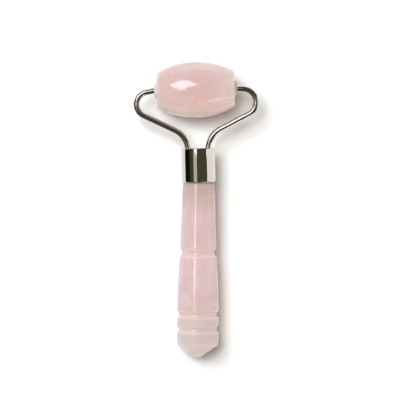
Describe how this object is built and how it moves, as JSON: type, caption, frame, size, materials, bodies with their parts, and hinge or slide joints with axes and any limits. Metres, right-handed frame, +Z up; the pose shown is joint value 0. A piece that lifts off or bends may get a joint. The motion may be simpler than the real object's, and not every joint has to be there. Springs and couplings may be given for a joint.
{
  "type": "face roller",
  "caption": "Handheld face roller: a barrel-shaped rose quartz stone spins in a sprung wire fork set in a chromed ferrule on a turned stone handle.",
  "frame": {"origin": "on the table, under the centre of the box round the roller as it lies at rest on its roller stone and the last lobe of its handle", "axes": "+X along the roller's axle, +Y from the handle's tip towards the roller, +Z up from the table"},
  "size_m": [0.0406, 0.0952, 0.018],
  "materials": {
    "roller_quartz": "polished",
    "handle_quartz": "polished",
    "wire_chrome": "polished",
    "ferrule_chrome": "polished",
    "clear_nylon": "satin",
    "epoxy_glue": "satin"
  },
  "bodies": {
    "handle": {"handle_stone": "handle_quartz", "ferrule": "ferrule_chrome", "ferrule_glue": "epoxy_glue", "left_arm_wire": "wire_chrome", "right_arm_wire": "wire_chrome"},
    "roller": {"roller_stone": "roller_quartz", "left_bush": "clear_nylon", "right_bush": "clear_nylon"}
  },
  "joints": [
    {"name": "roller_spin", "type": "hinge", "parent": "handle", "child": "roller", "pos_m": [-0.0001, 0.03859, 0.00898], "axis": [1, 0, 0], "continuous": true}
  ]
}
